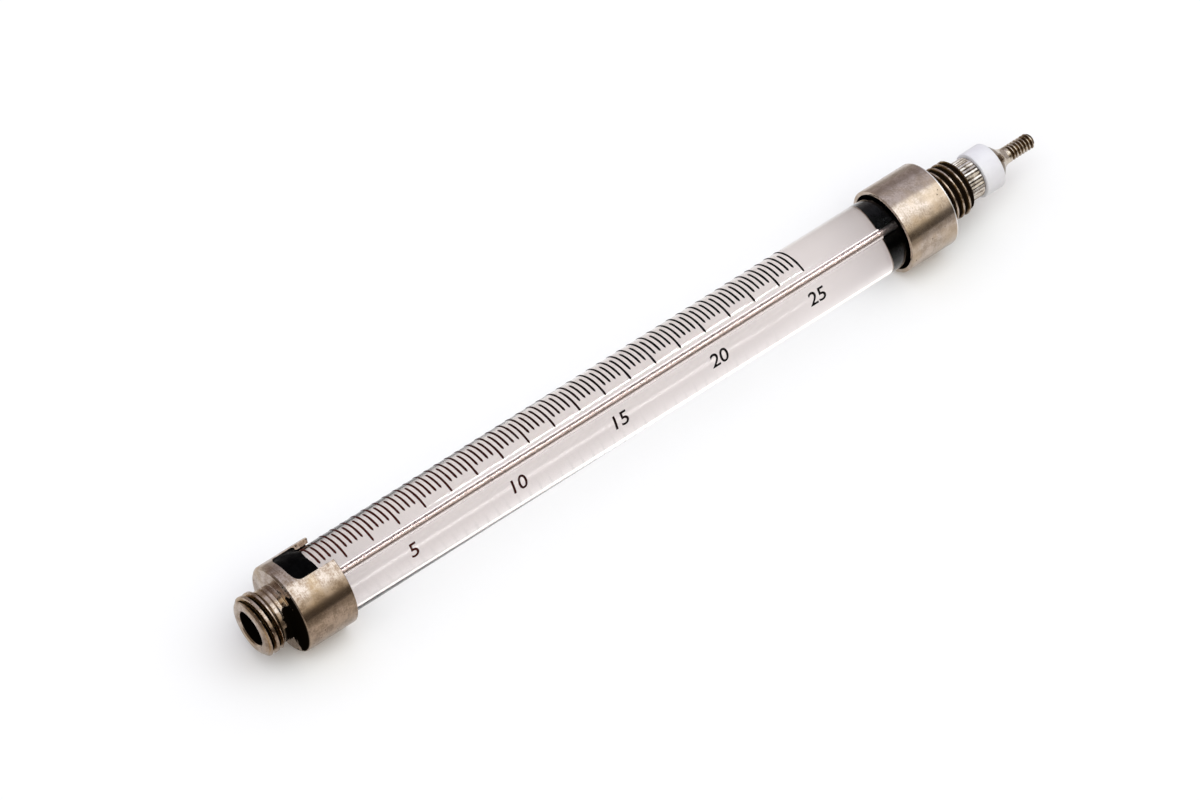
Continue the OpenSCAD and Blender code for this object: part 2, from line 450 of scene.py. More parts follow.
    def build(self) -> bpy.types.Material:
        """Builds the material.

        Returns:
            The finished material.
        """
        s = Shader(bpy.data.materials.new(self.name))
        blotch = s.grain(0.9, 5, 0.62)
        fine = s.grain(5.5, 4, 0.7)
        lines = s.grain(1.0, 3, 0.6, (16, 0.35, 0.35))
        pits = s.pits(1.15, self.pit_size) * s.grain(0.6, 2).rises(0.42, 0.55)
        tone = (blotch * 0.5 + fine * 0.35 + lines * 0.15).rises(0.4, 0.59)
        stain_and_shade, dirt_and_shade = self.layers(s, blotch, fine)
        dirt_and_shade = dirt_and_shade.atleast(pits * 0.8)
        colour = s.mix(stain_and_shade, self.sound(s, tone, fine), self.stain_and_shade)
        return s.surface(
            # Dark colour: soil at the roots and in the pits, and painted shade in the hole and on one side.
            Base_Color=s.mix(dirt_and_shade, colour, self.grime_and_shade),
            Metallic=self.metal * (1 - dirt_and_shade),
            Roughness=self.smooth + (1 - tone) * (self.rough - self.smooth) + dirt_and_shade * 0.2,
            Specular_IOR_Level=0.0,
            Normal=s.bump(fine * 0.5 + lines * 0.35 - pits * 0.8, self.relief),
        )


@dataclass(frozen=True)
class BarrelGlass:
    """Clear borosilicate with a faint film on its surface, its colour darkened as a painted shade.

    Attributes:
        name: The material's name.
        tint_and_shade: The colour that light takes at each surface: the glass's warm tint, darkened as a
            painted shade for the tube's shadow on the floor seen through it.
        film: The same where the film is thickest, darkened alike.
        ior: The glass's refractive index.
        coat_ior: The index of the coat that mirrors the narrow lamp, so low that black stays black.
        coat_roughness: The coat's roughness, just enough for the lamp's line to come out clean.
    """

    name: str = "barrel_glass_clear"
    tint_and_shade: tuple[float, float, float] = (0.86, 0.795, 0.77)
    film: tuple[float, float, float] = (0.83, 0.765, 0.74)
    ior: float = 1.474
    coat_ior: float = 1.1
    coat_roughness: float = 0.06

    def build(self) -> bpy.types.Material:
        """Builds the material.

        Returns:
            The finished material.
        """
        s = Shader(bpy.data.materials.new(self.name))
        film = s.grain(0.25, 3, 0.6, (0.3, 1, 1)).rises(0.45, 0.75)
        return s.surface(
            # Painted shade: the glass lets less light through, standing in for the shadow that the tube
            # doesn't cast.
            Base_Color=s.mix(film, self.tint_and_shade, self.film),
            Roughness=0.0,
            IOR=self.ior,
            Specular_Tint=(0.0, 0.0, 0.0, 1.0),
            Transmission_Weight=1.0,
            Coat_Weight=1.0,
            Coat_Roughness=self.coat_roughness,
            Coat_IOR=self.coat_ior,
        )


@dataclass(frozen=True)
class Paste:
    """An opaque, uneven, non-metal finish: adhesive, rubber or plastic.

    Attributes:
        name: The material's name.
        colour: Its colour.
        other: The colour of its patches.
        scale: The number of patches to the millimetre.
        smooth: The roughness between the patches.
        rough: The roughness of the patches.
        relief: How high its surface wanders, in millimetres.
        subsurface: How milky it is.
        depth: How deep light gets into it, in millimetres.
        gloss: How much it shines.
    """

    name: str
    colour: tuple[float, float, float]
    other: tuple[float, float, float]
    scale: float = 1.5
    smooth: float = 0.3
    rough: float = 0.5
    relief: float = 0.01
    subsurface: float = 0.0
    depth: float = 0.4
    gloss: float = 0.5

    def build(self) -> bpy.types.Material:
        """Builds the material.

        Returns:
            The finished material.
        """
        s = Shader(bpy.data.materials.new(self.name))
        patch = s.grain(self.scale, 4, 0.6)
        tone = patch.rises(0.35, 0.68)
        return s.surface(
            Base_Color=s.mix(tone, self.colour, self.other),
            Roughness=self.smooth + tone * (self.rough - self.smooth),
            Specular_IOR_Level=self.gloss,
            Normal=s.bump(s.grain(self.scale * 4, 3), self.relief),
            Subsurface_Weight=self.subsurface,
            Subsurface_Radius=(1.0, 1.0, 1.0),
            Subsurface_Scale=self.depth * MM,
        )


@dataclass(frozen=True)
class FiredInk:
    """Fired ink, which is redder where it is thin, towards the front.

    Attributes:
        name: The material's name.
        red: The colour of the thin ink.
        dark: The colour of the thick ink.
        red_until: The station up to which it is thin.
        dark_from: The station from which it is thick.
    """

    name: str = "fired_ink"
    red: tuple[float, float, float] = (0.05, 0.006, 0.003)
    dark: tuple[float, float, float] = (0.004, 0.002, 0.002)
    red_until: float = 12.0
    dark_from: float = 48.0

    def build(self) -> bpy.types.Material:
        """Builds the material.

        Returns:
            The finished material.
        """
        s = Shader(bpy.data.materials.new(self.name))
        uneven = s.grain(2.5, 3) * 16 - 8
        along = (s.station() + uneven).rises(self.red_until, self.dark_from)
        return s.surface(
            Base_Color=s.mix(along, self.red, self.dark),
            Roughness=0.6,
            Specular_IOR_Level=0.1,
            Normal=s.bump(s.grain(9, 3), 0.004),
        )


# --- Making meshes ----------------------------------------------------------------------


def meshed(name: str, bm: bmesh.types.BMesh) -> bpy.types.Mesh:
    """Makes a mesh of a shape.

    Args:
        name: The mesh's name.
        bm: The shape, which is used up.

    Returns:
        The mesh.
    """
    mesh = bpy.data.meshes.new(name)
    bm.to_mesh(mesh)
    bm.free()
    return mesh


def shown(name: str, data: bpy.types.ID) -> bpy.types.Object:
    """Puts a new object into the scene.

    Args:
        name: The object's name.
        data: Its mesh, curve, light or camera.

    Returns:
        The object.
    """
    thing = bpy.data.objects.new(name, data)
    bpy.context.scene.collection.objects.link(thing)
    return thing


def evaluated(thing: bpy.types.Object) -> bmesh.types.BMesh:
    """Makes a shape of an object as it looks.

    Args:
        thing: The object, which stays as it is.

    Returns:
        Its shape, with its modifiers applied.
    """
    bpy.context.view_layer.update()
    final = thing.evaluated_get(bpy.context.evaluated_depsgraph_get())
    bm = bmesh.new()
    bm.from_mesh(final.to_mesh())
    final.to_mesh_clear()
    return bm


def thickened(bm: bmesh.types.BMesh, faces: Sequence[bmesh.types.BMFace], radius: float) -> None:
    """Gives a skin over the barrel its thickness.

    Args:
        bm: The shape.
        faces: The skin's faces.
        radius: The radius of the cylinder that the skin's back lies on, in millimetres.
    """
    made = bmesh.ops.extrude_face_region(bm, geom=faces)["geom"]
    for vert in [v for v in made if isinstance(v, bmesh.types.BMVert)]:
        vert.co.yz *= radius * MM / vert.co.yz.length


@dataclass(frozen=True)
class Corner:
    """A corner of a half section, in millimetres.

    Attributes:
        x: Its station along the axis.
        r: Its distance from the axis.
        rounding: How far its rounding reaches along the edges that meet in it.
    """

    x: float
    r: float
    rounding: float = 0.0


@dataclass(frozen=True)
class Thread:
    """A right-handed screw thread, cut into whatever stands above its groove.

    Attributes:
        start: The station where its first groove may start.
        end: The station where its last groove may end.
        major: The radius of its crests.
        pitch: The distance between two crests.
        depth: The depth of the groove.
        crest_x: A station of a crest, straight towards +Y.
        flat: The share of half a pitch that the crest's flat takes.
        flank: The share of half a pitch where the flank ends and the root begins.
        softness: How far the flank is rounded off.
        fade_in: The length over which the groove deepens after start.
        fade_out: The length over which it gets shallow before end.
    """

    start: float
    end: float
    major: float
    pitch: float
    depth: float
    crest_x: float = 0.0
    fade_in: float = 0.01
    fade_out: float = 0.01
    flat: float = 0.14
    flank: float = 0.74
    softness: float = 0.35

    @property
    def bottom(self) -> float:
        """Gives the radius below which it leaves a surface alone."""
        return self.major - self.depth - 0.1

    def radius(self, x: float, angle: float) -> float:
        """Gives the thread's surface.

        Args:
            x: The station along the axis.
            angle: The angle round the axis, from +Y towards +Z.

        Returns:
            The radius there.
        """
        turn = (x - self.crest_x) / self.pitch - angle / FULL_TURN
        away = abs(turn - round(turn)) * 2
        groove = min(1.0, max(0.0, (away - self.flat) / (self.flank - self.flat)))
        groove = groove * groove * (3 - 2 * groove) * self.softness + groove * (1 - self.softness)
        fade = min(1.0, (x - self.start) / self.fade_in, (self.end - x) / self.fade_out)
        return self.major - self.depth * groove * max(0.0, fade)


def turned(
    corners: Sequence[Corner],
    steps: int = 192,
    closed: bool = True,
    threads: Sequence[Thread] = (),
    row: float = 0.03,
) -> bmesh.types.BMesh:
    """Turns a half section round the axis and cuts its threads.

    Args:
        corners: The half section.
        steps: The number of steps in a full turn.
        closed: Whether the section is a closed ring, or an open line that ends on the axis.
        threads: The threads to cut into it.
        row: The distance between the rows of vertices along a thread, in millimetres.

    Returns:
        The turned shape.
    """
    bm = bmesh.new()
    points = [bm.verts.new((c.x * MM, c.r * MM, 0)) for c in corners]
    pairs = list(zip(points, points[1:])) + ([(points[-1], points[0])] if closed else [])
    for pair in pairs:
        bm.edges.new(pair)
    for size in sorted({c.rounding for c in corners if c.rounding > 0}):
        rounded = [p for p, c in zip(points, corners) if c.rounding == size]
        bmesh.ops.bevel(
            bm, geom=rounded, offset=size * MM, offset_type="OFFSET", segments=4,
            profile=0.5, affect="VERTICES", material=-1,
        )
    for thread in threads:
        for edge in list(bm.edges):
            middle = (edge.verts[0].co + edge.verts[1].co) / 2
            length = abs(edge.verts[0].co.x - edge.verts[1].co.x)
            inside = thread.start * MM <= middle.x <= thread.end * MM
            outside = middle.y > thread.bottom * MM
            if inside and outside and length > 1.5 * row * MM:
                bmesh.ops.subdivide_edges(bm, edges=[edge], cuts=int(length / MM / row))
    bmesh.ops.spin(
        bm, geom=bm.verts[:] + bm.edges[:], cent=(0, 0, 0), axis=(1, 0, 0),
        angle=FULL_TURN, steps=steps, use_merge=True,
    )
    bmesh.ops.remove_doubles(bm, verts=bm.verts, dist=1e-7)
    bmesh.ops.recalc_face_normals(bm, faces=bm.faces)
    for vert in bm.verts:
        x, across = vert.co.x / MM, vert.co.yz.length / MM
        for thread in threads:
            if thread.start < x < thread.end and across > thread.bottom:
                cut = thread.radius(x, math.atan2(vert.co.z, vert.co.y))
                if cut < across:
                    vert.co.yz *= cut / across
                    across = cut
    return bm


def finished(
    name: str,
    bm: bmesh.types.BMesh,
    body: Body,
    material: bpy.types.Material,
    node: str = "",
    sharp: float = 40,
) -> bpy.types.Object:
    """Makes a piece of a shape.

    Args:
        name: The piece's name.
        bm: Its shape, which is used up.
        body: The body it rides on.
        material: Its material.
        node: The CAD node that it stands for, if any.
        sharp: The angle in degrees past which an edge shades as sharp.

    Returns:
        The piece.
    """
    mesh = meshed(name, bm)
    mesh.shade_smooth()
    mesh.set_sharp_from_angle(angle=math.radians(sharp))
    mesh.materials.append(material)
    piece = shown(name, mesh)
    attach(piece, body.value)
    if node:
        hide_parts(node)
    log.info("%s: %d faces on %s", name, len(mesh.polygons), body.value)
    return piece


def carved(shape: bmesh.types.BMesh, cutter: bmesh.types.BMesh) -> bmesh.types.BMesh:
    """Cuts one closed shape out of another.

    Args:
        shape: The shape to cut, which is used up.
        cutter: The shape that is taken away, which is used up.

    Returns:
        What is left of the shape.
    """
    blank, tool = (shown(name, meshed(name, bm)) for name, bm in (("blank", shape), ("cutter", cutter)))
    modifier = blank.modifiers.new("cut", "BOOLEAN")
    modifier.operation = "DIFFERENCE"
    modifier.solver = "EXACT"
    modifier.object = tool
    result = evaluated(blank)
    for mesh in (blank.data, tool.data):
        bpy.data.meshes.remove(mesh)
    bmesh.ops.remove_doubles(result, verts=result.verts, dist=2e-7)
    return result


def wander(size: float, *place: float) -> float:
    """Gives a smooth wander of up to size, which depends on the place alone."""
    return noise.noise(Vector(place)) * size


def around(x: float, radius: float, angle: float) -> Vector:
    """Gives a point in metres by its station, its radius and its angle from +Y towards +Z."""
    return Vector((x, radius * math.cos(angle), radius * math.sin(angle))) * MM


# --- The front of the syringe -----------------------------------------------------------


@dataclass
class Window:
    """The milled window in the front cap, open towards the rear.

    Attributes:
        start: The station of its front edge.
        width: Its width.
        corner: The radius of its corners.
        turn: Its angle in degrees from straight above towards +Y.
        flare: How far its outer edge is broken.
        span: The radii between which the cutter reaches.
    """

    start: float
    width: float = 4.6
    corner: float = 0.8
    turn: float = 17.0
    flare: float = 0.07
    span: tuple[float, float] = (3.2, 6.5)

    def outline(
        self, bm: bmesh.types.BMesh, end: float, grow: float, radius: float
    ) -> list[bmesh.types.BMEdge]:
        """Draws one loop of the cutter on a cylinder of its own radius.

        Args:
            bm: The cutter.
            end: The station where the cutter ends.
            grow: How much larger than the window the loop is.
            radius: The cylinder's radius.

        Returns:
            The loop's edges.
        """
        half, start = self.width / 2 + grow, self.start - grow
        places = [(start, half), (end, half), (end, -half), (start, -half)]
        corners = [bm.verts.new((x * MM, y * MM, 0)) for x, y in places]
        edges = [bm.edges.new((a, b)) for a, b in zip(corners, corners[1:] + corners[:1])]
        made = bmesh.ops.bevel(
            bm, geom=[corners[0], corners[3]], offset=(self.corner + grow) * MM,
            offset_type="OFFSET", segments=10, profile=0.5, affect="VERTICES", material=-1,
        )
        edges = [e for e in edges if e.is_valid] + made["edges"]
        across = [e for e in edges if abs(e.verts[0].co.x - e.verts[1].co.x) < 1e-7]
        bmesh.ops.subdivide_edges(bm, edges=across, cuts=12)
        loop = self._loop(edges[0])
        for vert in {v for e in loop for v in e.verts}:
            y = vert.co.y / MM
            vert.co.z = math.sqrt(radius * radius - y * y) * MM
        return loop

    @staticmethod
    def _loop(edge: bmesh.types.BMEdge) -> list[bmesh.types.BMEdge]:
        """Follows a closed chain of edges.

        Args:
            edge: The edge to start from.

        Returns:
            The chain's edges in order.
        """
        loop, vert = [edge], edge.verts[1]
        while True:
            following = next(e for e in vert.link_edges if e is not loop[-1])
            if following is edge:
                return loop
            loop.append(following)
            vert = following.other_vert(vert)

    def cutter(self, end: float, outer: float) -> bmesh.types.BMesh:
        """Makes the cutter, whose flare breaks the window's outer edge.

        Args:
            end: The station where it ends.
            outer: The radius of the surface it cuts through.

        Returns:
            A closed shape.
        """
        bm = bmesh.new()
        flare, (inside, outside) = self.flare, self.span
        levels = [(0.0, inside), (0.0, outer - flare), (2 * flare, outer + flare), (2 * flare, outside)]
        loops = [self.outline(bm, end, grow, radius) for grow, radius in levels]
        for below, above in zip(loops, loops[1:]):
            bmesh.ops.bridge_loops(bm, edges=below + above)
        bmesh.ops.holes_fill(bm, edges=loops[0] + loops[-1])
        bmesh.ops.recalc_face_normals(bm, faces=bm.faces)
        turn = Matrix.Rotation(math.radians(-self.turn), 4, "X")
        bmesh.ops.transform(bm, matrix=turn, verts=bm.verts)
        return bm


@dataclass
class FrontEnd:
    """The nose, the windowed cap, the face seal and the black adhesive. Sizes are in millimetres.

    Attributes:
        thread_length: The length of the thread at its full radius.
        lead_in: The length of the cone in front of it.
        collar_length: The length of the collar over the glass.
        seal_thickness: The thickness of the face seal.
        seal_r: The radius of its seat.
        seal_hole: The radius of its hole.
        outer: The radius of the collar.
        pocket: The radius of the pocket for the glass.
        thread_r: The radius of the thread's crests.
        face_r: The outer radius of the nose's face.
        neck_r: The radius of the neck.
        bore_r: The radius of the bore in the nose.
        pitch: The pitch of the thread.
        crest_x: A station of one of its crests.
        glass_r: The radius of the glass.
        window_start: The distance from the shoulder to the window.
        window_fill: How far the adhesive fills the window.
        fill_r: The radius that its surface comes up to.
        ridges: The stations of the fine ridges on the neck.
        ridge_half: Half the width of a ridge.
        ridge_height: How high a ridge stands.
        bore_chamfer: The chamfer at the bore's mouth.
        collar_chamfer: The chamfer at the collar's front edge.
    """

    thread_length: float = 1.25
    lead_in: float = 0.45
    collar_length: float = 5.8
    seal_thickness: float = 0.7
    seal_r: float = 2.5
    seal_hole: float = 0.45
    outer: float = 4.65
    pocket: float = 4.07
    thread_r: float = 3.175
    face_r: float = 2.65
    neck_r: float = 2.8
    bore_r: float = 1.8
    pitch: float = 0.79
    crest_x: float = -1.21
    glass_r: float = 3.95
    window_start: float = 1.45
    window_fill: float = 2.6
    fill_r: float = 4.55
    ridges: tuple[float, ...] = (0.86, 1.39, 1.88)
    ridge_half: float = 0.09
    ridge_height: float = 0.04
    bore_chamfer: float = 0.2
    collar_chamfer: float = 0.25

    def __post_init__(self) -> None:
        """Takes the stations from the frame and sets the window and the finishes."""
        self.nose, self.rim = reach("front_cap")
        self.glass_start, _ = reach("glass_barrel")
        self.thread_start = self.nose + self.lead_in
        self.thread_end = self.thread_start + self.thread_length
        self.shoulder = self.rim - self.collar_length
        self.seal_start = self.glass_start - self.seal_thickness
        self.window = Window(self.shoulder + self.window_start)
        self.fill_end = self.window.start + self.window_fill
        self.plate = TurnedMetal(
            "front_nickel_plate", (0.56, 0.475, 0.405), (0.3, 0.215, 0.15), (0.46, 0.33, 0.19),
            stain_and_shade=(0.3, 0.18, 0.07), grime_and_shade=(0.003, 0.002, 0.001), crest=3.02, root=2.78, uneven=0.3,
            # The nose's bore is darkened all over as painted shade.
            threads=(self.nose + 0.15, self.thread_end + 0.25), hollow=self.bore_r + 0.03,
            # The neck's side towards -Y gets painted shade in patches, and that side of the plating is
            # darkened as painted shade.
            shade_span=(self.thread_end + 0.1, self.shoulder + 0.1), side_shade=0.85,
        ).build()
        self.black = Paste(
            "window_adhesive", (0.0, 0.0, 0.0), (0.001, 0.001, 0.001), 2.0, 0.16, 0.4, 0.012, gloss=0.025,
        ).build()
        self.rubber = Paste(
            "seal_rubber", (0.004, 0.004, 0.004), (0.012, 0.011, 0.01), 3.0, 0.45, 0.7, gloss=0.2,
        ).build()

    def cap(self) -> bpy.types.Object:
        """Turns the cap with its threaded nose and mills its window.

        Returns:
            The cap.
        """
        thread = Thread(
            self.nose - 0.2, self.thread_end + 0.45, self.thread_r, self.pitch, depth=0.42,
            crest_x=self.crest_x, fade_out=0.2, flat=0.36,
        )
        steps = ((-self.ridge_half, 0.0), (0.0, self.ridge_height), (self.ridge_half, 0.0))
        neck_start = self.thread_end + self.thread_r - self.neck_r
        ridges = [
            Corner(x + step, self.neck_r + high)
            for x in self.ridges for step, high in steps
            if x + step > neck_start
        ]
        section = [
            Corner(self.nose, self.bore_r + self.bore_chamfer, 0.05),
            Corner(self.nose, self.face_r, 0.16),
            Corner(self.thread_start, self.thread_r, 0.05),
            Corner(self.thread_end, self.thread_r, 0.05),
            Corner(neck_start, self.neck_r),
            *ridges,
            Corner(self.shoulder, self.neck_r, 0.05),
            Corner(self.shoulder, self.outer - self.collar_chamfer, 0.05),
            Corner(self.shoulder + self.collar_chamfer, self.outer, 0.06),
            Corner(self.rim, self.outer, 0.08),
            Corner(self.rim, self.pocket, 0.04),
            Corner(self.glass_start, self.pocket),
            Corner(self.glass_start, self.seal_r),
            Corner(self.seal_start, self.seal_r),
            Corner(self.seal_start, self.bore_r, 0.03),
            Corner(self.nose + self.bore_chamfer, self.bore_r),
        ]
        blank = turned(section, 256, threads=[thread])
        shape = carved(blank, self.window.cutter(self.rim + 1, self.outer))
        return finished("front_cap_turned", shape, Body.BARREL, self.plate, "front_cap", 32)

    def seal(self) -> bpy.types.Object:
        """Turns the seal against which the glass stands.

        Returns:
            The seal.
        """
        front, back, edge = self.seal_start + 0.005, self.glass_start - 0.005, self.seal_r - 0.01
        places = ((front, self.seal_hole), (front, edge), (back, edge), (back, self.seal_hole))
        bm = turned([Corner(x, r, 0.04) for x, r in places], 128)
        return finished("face_seal_ring", bm, Body.BARREL, self.rubber, "face_seal")

    def sleeve(self) -> bmesh.types.BMesh:
        """Turns the film of adhesive between the glass and the cap, and clears it out of the window.

        Returns:
            The film's shape.
        """
        inner, outer = self.glass_r - GLUE_BITE, self.pocket - GLUE_GAP
        section = [
            Corner(self.glass_start + 0.25, inner),
            Corner(self.glass_start + 0.25, outer),
            Corner(self.rim - 0.28, outer),
            Corner(self.rim - 0.32, inner),
        ]
        cutter = self.window.cutter(self.rim + 1, self.outer)
        bmesh.ops.translate(cutter, verts=cutter.verts, vec=((self.window_fill - 0.2) * MM, 0, 0))
        return carved(turned(section, 192), cutter)

    def fill(self, bm: bmesh.types.BMesh, columns: int = 30, rows: int = 44) -> None:
        """Adds the adhesive that fills the front of the window, with its ragged end.

        Args:
            bm: The shape that it is added to.
            columns: The number of faces along the axis.
            rows: The number of faces across the window.
        """
        verts = bmesh.ops.create_grid(bm, x_segments=columns, y_segments=rows, size=1)["verts"]
        faces = list({f for v in verts for f in v.link_faces})
        half = self.window.width / 2 - 0.01
        turn = math.radians(90 - self.window.turn)
        for vert in verts:
            along, side = (vert.co.x + 1) / 2, vert.co.y
            wave = wander(0.16, side * 2.1, 4.7, 0.0)
            ripple = wander(0.05, side * 9.0, 1.3, 0.0)
            rag = wander(0.6, side * 21.0, 7.7, 0.0) * max(0.0, (side - 0.55) / 0.45)
            end = self.fill_end + along * (wave + ripple + rag)
            start = self.window.start + 0.01 + self._corner_inset(side * half)
            x = start + (end - start) * along
            sag = 0.1 * (1 - side ** 4) + 0.16 * max(0.0, along - 0.72) / 0.28
            lumps = wander(0.03, x * 1.4, side * 3.0, 9.1)
            radius = self.fill_r - sag + lumps
            y = -side * half
            vert.co = around(x, radius, turn + math.asin(max(-1.0, min(1.0, y / radius))))
        thickened(bm, faces, self.glass_r - GLUE_BITE)

    def _corner_inset(self, across: float) -> float:
        """Measures the window's rounded corner.

        Args:
            across: The distance from the window's middle line.

        Returns:
            How far the corner narrows the window there.
        """
        corner = self.window.corner
        past = max(0.0, abs(across) - (self.window.width / 2 - corner))
        return corner - math.sqrt(max(0.0, corner * corner - past * past))

    def adhesive(self) -> bpy.types.Object:
        """Makes the black adhesive in one piece.

        Returns:
            The adhesive.
        """
        bm = self.sleeve()
        self.fill(bm)
        bmesh.ops.recalc_face_normals(bm, faces=bm.faces)
        return finished("front_adhesive_fill", bm, Body.BARREL, self.black, "front_adhesive")

    def build(self) -> None:
        """Builds every piece of the front end."""
        self.cap()
        self.seal()
        self.adhesive()


# --- The barrel -------------------------------------------------------------------------


@dataclass
class Barrel:
    """The glass tube and what is printed on it. Sizes are in millimetres and angles in degrees.

    Attributes:
        outer: The radius of the glass.
        bore: The radius of its bore.
        mouth: The radius of the funnel at its rear end.
        mouth_depth: The depth of the funnel.
        division: The distance between two marks.
        first: The number of the first mark that the adhesive doesn't cover.
        last: The number of the last mark.
        width: The width of a mark.
        unevenness: How much its width varies along it, as a share of it.
        end_width: The width of its ends, as a share of it.
        straying: How far it strays from its station.
        step_angle: About how far its faces reach around the glass.
        height: How high the ink stands.
        edge_height: How high its edges stand.
        sunk: How deep its back lies in the glass, so that no gap shows.
        scale_angle: The angle of the scale's middle from +Y towards +Z.
        half_angle: How far a short mark reaches to each side.
        near_angle: How far every fifth mark reaches towards the camera.
        far_angle: How far every second mark reaches to the back.
        window_angle: How far a mark may reach inside the cap's window.
        numbered: The number of divisions from one numeral to the next.
        per_unit: The number of divisions in one microlitre.
        digit_height: The height of the numerals.
        digit_angle: How far the numerals stand below the long marks.
    """

    outer: float = 3.95
    bore: float = 0.3568
    mouth: float = 0.8
    mouth_depth: float = 1.5
    division: float = 0.625
    first: int = 6
    last: int = 100
    width: float = 0.24
    unevenness: float = 0.16
    end_width: float = 0.35
    straying: float = 0.012
    step_angle: float = 2.6
    height: float = 0.028
    edge_height: float = 0.006
    sunk: float = 0.006
    scale_angle: float = 76.0
    half_angle: float = 17.7
    near_angle: float = 31.0
    far_angle: float = 44.0
    window_angle: float = 31.6
    numbered: int = 20
    per_unit: int = 4
    digit_height: float = 1.45
    digit_angle: float = 43.0

    def __post_init__(self) -> None:
        """Takes the stations from the frame and sets the finishes of the barrel."""
        self.start, self.end = reach("glass_barrel")
        _, self.window_end = reach("front_cap")
        self.glass = BarrelGlass().build()
        self.ink = FiredInk().build()

    def tube(self) -> bpy.types.Object:
        """Turns the glass tube with its polished ends and its funnel.

        Returns:
            The tube.
        """
        section = [
            Corner(self.start, self.bore, 0.05),
            Corner(self.start, self.outer, 0.2),
            Corner(self.end, self.outer, 0.2),
            Corner(self.end, self.mouth, 0.1),
            Corner(self.end - self.mouth_depth, self.bore, 0.1),
        ]
        bm = turned(section, 256)
        tube = finished("barrel_tube", bm, Body.BARREL, self.glass, "glass_barrel")
        # The tube casts no shadow on the floor; the darker colour of its glass stands in for it as painted
        # shade.
        tube.visible_shadow = tube.visible_diffuse = False
        return tube

    def mark(self, bm: bmesh.types.BMesh, index: int) -> None:
        """Prints one mark of the scale.

        Args:
            bm: The shape that collects the marks.
            index: The mark's number, counted from the zero of the scale.
        """
        x = self.start + index * self.division
        near = self.near_angle if index % 5 == 0 else self.half_angle
        far = self.far_angle if index % 2 == 0 else self.half_angle
        if x - self.width < self.window_end:
            near, far = min(near, self.window_angle), min(far, self.window_angle)
        first, last = math.radians(self.scale_angle - far), math.radians(self.scale_angle + near)
        steps = round(math.degrees(last - first) / self.step_angle)
        verts = bmesh.ops.create_grid(bm, x_segments=3, y_segments=steps, size=1)["verts"]
        faces = list({f for v in verts for f in v.link_faces})
        cap = self.width / 2 / self.outer
        for vert in verts:
            side, along = vert.co.x, (vert.co.y + 1) / 2
            end = 1 if 0 < round(along * steps) < steps else self.end_width
            uneven = 1 + wander(self.unevenness, index * 3.7, along * 6.0, 2.0)
            half = self.width / 2 * uneven * end * (1.0 if abs(side) > 0.9 else 0.75)
            astray = wander(self.straying, index * 1.9, along * 3.0, 8.0)
            lift = self.height if abs(side) < 0.9 and end == 1 else self.edge_height
            angle = first - cap + (last - first + 2 * cap) * along
            sign = math.copysign(1, side)
            vert.co = around(x + astray + sign * half, self.outer + lift, angle)
        thickened(bm, faces, self.outer - self.sunk)

    def scale(self) -> bpy.types.Object:
        """Prints the marks of the scale.

        Returns:
            All the marks, in one piece.
        """
        bm = bmesh.new()
        for index in range(self.first, self.last + 1):
            self.mark(bm, index)
        bmesh.ops.recalc_face_normals(bm, faces=bm.faces)
        return finished("scale_print", bm, Body.BARREL, self.ink, "scale_marks")

    def digits(self, text: str, x: float) -> bmesh.types.BMesh:
        """Prints one numeral on the glass.

        Args:
            text: Its digits.
            x: The station of its middle.

        Returns:
            The numeral, wrapped on the barrel.
        """
        curve = bpy.data.curves.new("digits", "FONT")
        curve.body = text
        curve.align_x = "CENTER"
        curve.size = 1.0
        curve.resolution_u = 6
        curve.offset = 0.008
        bm = evaluated(shown("digits", curve))
        bpy.data.curves.remove(curve)
        bmesh.ops.remove_doubles(bm, verts=bm.verts, dist=1e-5)
        tall = max(v.co.y for v in bm.verts)
        for step in range(1, 12):
            geometry = bm.verts[:] + bm.edges[:] + bm.faces[:]
            bmesh.ops.bisect_plane(bm, geom=geometry, plane_co=(0, tall * step / 12, 0), plane_no=(0, 1, 0))
        scale = self.digit_height / tall
        top = math.radians(self.scale_angle + self.near_angle + self.digit_angle)
        for vert in bm.verts:
            angle = top + (0.5 * tall - vert.co.y) * scale / self.outer
            vert.co = around(x + vert.co.x * scale * 1.05, self.outer + self.height, angle)
        thickened(bm, bm.faces[:], self.outer - self.sunk)
        bmesh.ops.recalc_face_normals(bm, faces=bm.faces)
        return bm

    def numerals(self) -> bpy.types.Object:
        """Prints the numerals beside the scale.

        Returns:
            All the numerals, in one piece.
        """
        whole = bmesh.new()
        for index in range(self.numbered, self.last + 1, self.numbered):
            digits = self.digits(str(index // self.per_unit), self.start + index * self.division)
            mesh = meshed("digits", digits)
            whole.from_mesh(mesh)
            bpy.data.meshes.remove(mesh)
        return finished("scale_numerals", whole, Body.BARREL, self.ink)

    def build(self) -> None:
        """Builds every piece of the barrel."""
        self.tube()
        self.scale()
        self.numerals()


# --- The rear of the barrel -------------------------------------------------------------


